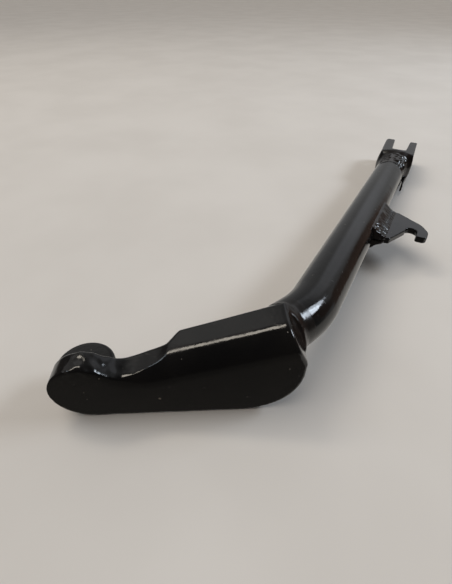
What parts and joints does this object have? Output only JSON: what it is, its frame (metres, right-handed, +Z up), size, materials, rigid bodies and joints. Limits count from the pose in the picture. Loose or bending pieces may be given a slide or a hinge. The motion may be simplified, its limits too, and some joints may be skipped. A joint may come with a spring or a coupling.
{
  "type": "motorcycle side stand",
  "caption": "Motorcycle side stand: a bent tubular leg with a forged foot at one end, a slotted pivot fork at the other and a hook plate for the return spring.",
  "frame": {"origin": "middle of the bottom of the bounding box of the stand lying on its side", "axes": "+Y along the leg from the foot to the pivot fork, +X along the pivot axis towards the side with the spring hook, +Z up"},
  "size_m": [0.134, 0.392, 0.0474],
  "materials": {
    "black_paint": "gloss",
    "painted_weld": "gloss"
  },
  "bodies": {
    "root": {"leg_tube": "black_paint", "foot": "black_paint", "pivot_fork": "black_paint", "spring_hook": "black_paint", "foot_weld": "painted_weld", "fork_weld": "painted_weld", "hook_weld_upper": "painted_weld", "hook_weld_lower": "painted_weld"}
  },
  "joints": []
}
